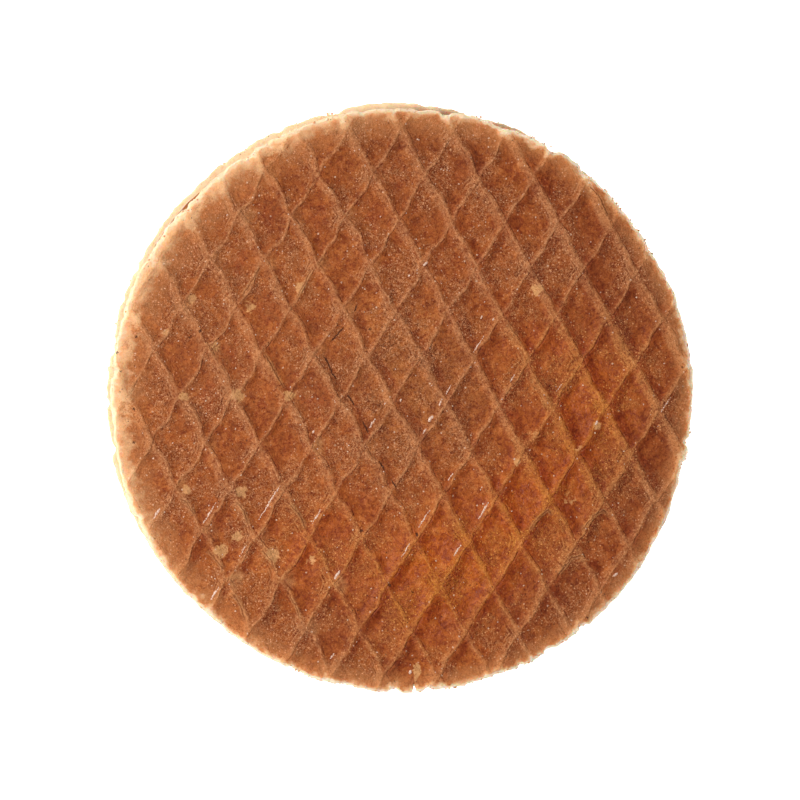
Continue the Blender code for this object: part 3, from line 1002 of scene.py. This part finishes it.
def ridge_tones(place):
    """How pale a ridge's crest is, with painted light on its flank that faces the lamp, how much browning
    and painted shade its foot has away from the lamp, and how red the middle of the cell.
    """
    zone = Zone(place)
    first, second = from_crests(place)
    cell = [math.floor(along) + 0.5 for along in on_lattice(place)]
    chance = noise.cell(Vector((*cell, 0.5)))
    # Paler crests with painted light down the flanks that face the lamp, and over the web left of each
    # crossing
    light_first = band(first, -0.62 * zone.first_left, 0.32, 0.45)
    light_first *= 0.62 - 0.22 * zone.low + 0.3 * zone.right
    light_second = band(second, -0.55 * zone.second_left, 0.16, 0.35)
    light_second *= 0.44 + 0.20 * zone.middle + 0.15 * zone.right
    corner = 0.0
    if first < 0 and second < 0:
        corner = ease((2.5 + first + second) / 1.2) * (0.8 - 0.6 * zone.middle)
    light = max(light_first, light_second, corner) * (0.75 + 0.5 * swing(place, 330, LIGHT_LAYER))
    light *= 1 - 0.12 * zone.high
    # Browning with painted shade on the side of each ridge away from the lamp
    shade = max(zone.right, zone.middle)
    painted_foot_shade_first = band(first, 0.45, 1.6, 0.6) * (0.15 + 0.75 * shade - 0.3 * zone.low)
    painted_foot_shade_second = band(second, 0.35, 1.3, 0.6) * (0.15 + 0.65 * max(zone.right, zone.low))
    painted_foot_shade = max(painted_foot_shade_first, painted_foot_shade_second, 0.0) * (0.8 + 0.5 * swing(place, 400, FOOT_SHADE_LAYER))
    painted_foot_shade *= 1 - 0.25 * zone.high
    middle = ease((min(abs(first), abs(second)) - 1.2) / 1.3)
    spot = middle * (0.65 - 0.40 * zone.right) * (1 - zone.middle)
    spot *= 0.3 + chance + 0.6 * swing(place, 300, SPOT_LAYER)
    return light, max(0.0, painted_foot_shade), max(0.0, spot)


def pale_corner(place):
    """How pale the left corner of a cell is, just right of where two ridges cross."""
    first, second = from_crests(place)
    if first < 0 or second < 0:
        return 0.0
    near = ease((1.9 - math.hypot(first - 0.45, second - 0.45)) / 1.2)
    left = ease((-place.x / MM + 4) / 18)
    return 0.55 * near * left * ease(0.35 + 0.9 * swing(place, 140, CORNER_LAYER))


def paint_bake(piece, sizes, layer):
    """Writes what the finish reads at each point: its place on the lattice, bake, tones and creases."""
    lattice, bake, tones, blotches, creases = [], [], [], [], []
    top = layer == TOP_LAYER
    for vert in piece.data.vertices:
        place = vert.co
        azimuth = math.atan2(place.y, place.x)
        inside = edge_radius(azimuth, sizes.radius, layer) - place.xy.length
        drop = max(0.0, -place.z / MM - 0.1)
        paler = 0.5 + 0.5 * math.cos(azimuth - PALE_SIDE)
        inside = min(6.0, max(0.0, inside / MM)) * (1 - ease(drop / 0.5)) / (0.78 + 0.85 * paler ** 2.2)
        lattice.append((*on_lattice(place), pale_corner(place)))
        bake.append((patchiness(place, SOAKED_PATCHES), patchiness(place, DRY_PATCHES), inside))
        tones.append(ridge_tones(place))
        pale = patchiness(place, PALE_PATCHES) if top else 0.0
        blotches.append((patchiness(place, BROWNED_PATCHES), pale, patchiness(place, CRACKLY_PATCHES)))
        crease = NO_CREASE
        if top:
            away, near = beside_crease(place, CREASES)
            crease = (away, near, 0.0)
            if not near:
                away, near = beside_crease(place, CRACKS)
                crease = (away, 0.0, near)
            for x, y in BURNT_SPECKS:
                beyond = math.hypot(place.x / MM - x, place.y / MM - y) - SPECK_RADIUS
                if beyond < 0.5:
                    crease = (max(0.0, beyond), 0.0, 1.0)
        creases.append(crease)
    write_attribute(piece, "lattice", lattice)
    write_attribute(piece, "bake", bake)
    write_attribute(piece, "tones", tones)
    write_attribute(piece, "patches", blotches)
    write_attribute(piece, "creases", creases)


# --------------------------------------
# Pieces


def finish_piece(piece, material, node=None):
    """Gives a piece its finish, and lets it ride the body, in the place of a solid if it names one."""
    piece.data.materials.append(material)
    piece.data.shade_smooth()
    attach(piece, "root")
    if node:
        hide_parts(node)


class WAFEL_OT_top_wafer(bpy.types.Operator):
    """Model the top wafer, with its ridges up"""

    bl_idname = "wafel.top_wafer"
    bl_label = "Top Wafer"

    def execute(self, context):
        settings = context.scene.wafel
        wafer = make_wafer("upper_wafer", settings.wafer, TOP_LAYER, TOP_CHIPS,
                           turned_over=False, low=TOP_LOW, high=TOP_HIGH)
        finish_piece(wafer, dough_finish("baked_dough", settings.dough), "top_wafer")
        return {"FINISHED"}


class WAFEL_OT_bottom_wafer(bpy.types.Operator):
    """Model the bottom wafer, with its ridges down"""

    bl_idname = "wafel.bottom_wafer"
    bl_label = "Bottom Wafer"

    def execute(self, context):
        settings = context.scene.wafel
        wafer = make_wafer("lower_wafer", settings.wafer, BOTTOM_LAYER, BOTTOM_CHIPS,
                           turned_over=True, low=BOTTOM_LOW, high=BOTTOM_HIGH)
        finish_piece(wafer, dough_finish("underside_dough", settings.dough), "bottom_wafer")
        return {"FINISHED"}


def upper_wafer():
    """The finished top wafer, which the beads lie on."""
    wafer = bpy.data.objects.get("upper_wafer")
    if wafer is None:
        raise RuntimeError("model the top wafer first")
    return wafer


def start_scatter(name):
    """An empty mesh in edit mode, to add small pieces to."""
    deselect_everything()
    mesh = bpy.data.meshes.new(name)
    scatter = bpy.data.objects.new(name, mesh)
    bpy.context.collection.objects.link(scatter)
    in_edit_mode(scatter)
    return scatter


class WAFEL_OT_syrup_beads(bpy.types.Operator):
    """Model the beads of set syrup that shine on the top wafer"""

    bl_idname = "wafel.syrup_beads"
    bl_label = "Syrup Beads"

    def execute(self, context):
        surface = BVHTree.FromObject(upper_wafer(), context.evaluated_depsgraph_get())
        chance = random.Random(BEAD_CHANCE)
        run = Vector((math.cos(SECOND_RIDGES_RUN), math.sin(SECOND_RIDGES_RUN)))
        beads = start_scatter("set_syrup_beads")

        def add_bead(x, y, radius, stretch):
            hit = surface.ray_cast(Vector((x, y, ABOVE_WAFEL)), Vector((0, 0, -1)))[0]
            if hit is None:
                return
            bpy.ops.mesh.primitive_ico_sphere_add(
                subdivisions=2 if radius < FINE_BEAD else 3, radius=radius,
                location=(x, y, hit.z - BEAD_SINK * radius),
                rotation=(0, 0, SECOND_RIDGES_RUN + chance.uniform(-0.4, 0.4)),
                scale=(stretch, chance.uniform(0.7, 1.0), BEAD_FLATNESS),
            )

        for x, y, length, width in SYRUP_BEADS:
            count = max(1, round(length / BEAD_STEP))
            for step in range(count):
                along = (step - (count - 1) / 2) * length / count
                fade = 1 - 0.5 * abs(along) / (length / 2 + 0.1)
                place = Vector((x, y)) + run * along
                sway = BEAD_SWAY * swing(place * MM, BEAD_SWAY_PER_METRE, BEAD_LAYER)
                radius = BEAD_FULLNESS * width * fade * chance.uniform(0.6, 1.1)
                add_bead((place.x - sway * run.y) * MM, (place.y + sway * run.x) * MM, radius * MM,
                         chance.uniform(1.1, 2.0))
        for _ in range(GRAIN_COUNT):
            azimuth = chance.uniform(0, 2 * math.pi)
            reach = GRAIN_REACH * math.sqrt(chance.random())
            add_bead(reach * math.cos(azimuth), reach * math.sin(azimuth),
                     chance.uniform(0.05, 0.10) * MM, chance.uniform(1.0, 1.6))
        in_object_mode()
        roughen(beads, BEAD_ROUGH_LUMP, BEAD_ROUGHNESS, direction="NORMAL")
        finish_piece(beads, bead_finish(context.scene.wafel.syrup))
        return {"FINISHED"}


class WAFEL_OT_edge_crumbs(bpy.types.Operator):
    """Model the crumbs that cling to the cut edges"""

    bl_idname = "wafel.edge_crumbs"
    bl_label = "Edge Crumbs"

    def execute(self, context):
        settings = context.scene.wafel
        chance = random.Random(CRUMB_CHANCE)
        crumbs = start_scatter("edge_crumbs")
        wafers = ((TOP_LAYER, -slip() / 2, TOP_LOW.z), (BOTTOM_LAYER, slip() / 2, 0.0))
        for layer, centre, base in wafers:
            for _ in range(CRUMB_COUNT):
                azimuth = chance.uniform(0, 2 * math.pi)
                size = chance.uniform(0.10, 0.26) * MM
                share = chance.uniform(0.12, 0.80)
                back = edge_loss(azimuth, TOP_CHIPS if layer == TOP_LAYER else BOTTOM_CHIPS)
                worn = share if layer == TOP_LAYER else 1 - share
                reach = edge_radius(azimuth, settings.wafer.radius, layer) - 1.05 * size
                reach -= back * max(0.0, worn - 0.5)
                bpy.ops.mesh.primitive_ico_sphere_add(
                    subdivisions=1, radius=size,
                    location=(centre.x + reach * math.cos(azimuth), centre.y + reach * math.sin(azimuth),
                              base + share * settings.wafer.thickness),
                    rotation=(chance.uniform(0, 3), chance.uniform(0, 3), chance.uniform(0, 3)),
                    scale=(chance.uniform(0.8, 1.3), chance.uniform(0.7, 1.1), chance.uniform(0.6, 1.0)),
                )
        in_object_mode()
        roughen(crumbs, CRUMB_ROUGH_LUMP, CRUMB_ROUGHNESS, direction="NORMAL")
        finish_piece(crumbs, crumb_finish(settings.dough))
        return {"FINISHED"}


class WAFEL_OT_syrup(bpy.types.Operator):
    """Model the syrup between the wafers"""

    bl_idname = "wafel.syrup"
    bl_label = "Syrup"

    def execute(self, context):
        deselect_everything()
        low = BOTTOM_HIGH.z - SYRUP_GRIP
        depth = TOP_LOW.z + SYRUP_GRIP - low
        syrup = stacked_disc("caramel_syrup", SYRUP_RADIUS, low, [depth / SYRUP_LEVELS] * SYRUP_LEVELS)
        for vert in syrup.data.vertices:
            azimuth = math.atan2(vert.co.y, vert.co.x)
            share = (vert.co.z - low) / depth
            ooze = OOZE + OOZE_SWING * swing_round(azimuth, OOZE_FINENESS, OOZE_LAYER)
            bulge = max(0.0, math.sin(math.pi * share)) ** BULGE_CURVE
            bulge -= SYRUP_SAG * math.sin(2 * math.pi * share) * ooze
            radius = SYRUP_RADIUS + wave_sum(SYRUP_WAVES, azimuth) + SYRUP_BULGE * ooze * bulge
            radius += SYRUP_GRAIN * noise.noise(vert.co * SYRUP_GRAIN_PER_METRE)
            vert.co = (radius * math.cos(azimuth), radius * math.sin(azimuth), vert.co.z)
        finish_piece(syrup, syrup_finish(context.scene.wafel.syrup), "syrup")
        return {"FINISHED"}


# The camera looks straight down. The width of what it sees is measured at the crests.
LENS, SENSOR = 240.0, 36.0
VIEW_WIDTH = 108.56 * MM
VIEW_CENTRE = Vector((0.03 * MM, -0.37 * MM, 0))
NEAREST_SEEN, FARTHEST_SEEN = 0.01, 10.0

FLOOR_SIZE, FLOOR_GLOW = 4.0, 1.4
KEY_PLACE = Vector((-0.14, 0.02, 0.235))
KEY_SIZE, KEY_WATTS = 0.08, 0.68
SKY_STRENGTH = 0.30


class WAFEL_OT_studio(bpy.types.Operator):
    """Set up the floor, the lights and the camera"""

    bl_idname = "wafel.studio"
    bl_label = "Studio"

    def execute(self, context):
        deselect_everything()
        scene = context.scene
        bpy.ops.mesh.primitive_plane_add(size=FLOOR_SIZE, location=(0, 0, 0))
        floor = bpy.context.object
        floor.name = floor.data.name = "studio_floor"
        floor.data.materials.append(Finish("white_paper").shade({
            "Base Color": (0.8, 0.8, 0.8),
            "Roughness": 0.9,
            "Emission Color": (1.0, 1.0, 1.0),
            "Emission Strength": FLOOR_GLOW,
        }))

        bpy.ops.object.light_add(type="AREA", location=KEY_PLACE)
        lamp = bpy.context.object
        lamp.name = "key_light"
        lamp.data.size = KEY_SIZE
        lamp.data.energy = KEY_WATTS
        lamp.rotation_euler = (-KEY_PLACE).to_track_quat("-Z", "Y").to_euler()

        world = bpy.data.worlds.new("studio")
        world.use_nodes = True
        sky = world.node_tree.nodes["Background"]
        sky.inputs["Color"].default_value = (1, 1, 1, 1)
        sky.inputs["Strength"].default_value = SKY_STRENGTH
        scene.world = world
        scene.view_settings.view_transform = "Standard"

        reach = VIEW_WIDTH / 2 * LENS / (SENSOR / 2)
        bpy.ops.object.camera_add(location=(*VIEW_CENTRE.xy, SOLID_HIGH.z + reach))
        camera = bpy.context.object
        camera.name = "camera"
        camera.data.lens = LENS
        camera.data.sensor_width = SENSOR
        camera.data.clip_start = NEAREST_SEEN
        camera.data.clip_end = FARTHEST_SEEN
        scene.camera = camera
        return {"FINISHED"}


class WAFEL_PT_panel(bpy.types.Panel):
    """Lists the steps that make the wafel"""

    bl_idname = "WAFEL_PT_panel"
    bl_label = "Stroopwafel"
    bl_space_type = "VIEW_3D"
    bl_region_type = "UI"
    bl_category = "Wafel"

    def draw(self, context):
        for operator in OPERATORS:
            self.layout.operator(operator.bl_idname)


OPERATORS = (
    WAFEL_OT_bottom_wafer,
    WAFEL_OT_syrup,
    WAFEL_OT_top_wafer,
    WAFEL_OT_syrup_beads,
    WAFEL_OT_edge_crumbs,
    WAFEL_OT_studio,
)
CLASSES = (WaferSizes, DoughColours, SyrupColours, WafelSettings, *OPERATORS, WAFEL_PT_panel)


def register():
    for item in CLASSES:
        bpy.utils.register_class(item)
    bpy.types.Scene.wafel = PointerProperty(type=WafelSettings)


def unregister():
    del bpy.types.Scene.wafel
    for item in reversed(CLASSES):
        bpy.utils.unregister_class(item)


def main():
    """Makes every piece and the studio."""
    register()
    for operator in OPERATORS:
        family, name = operator.bl_idname.split(".")
        getattr(getattr(bpy.ops, family), name)()


if __name__ == "__main__":
    main()
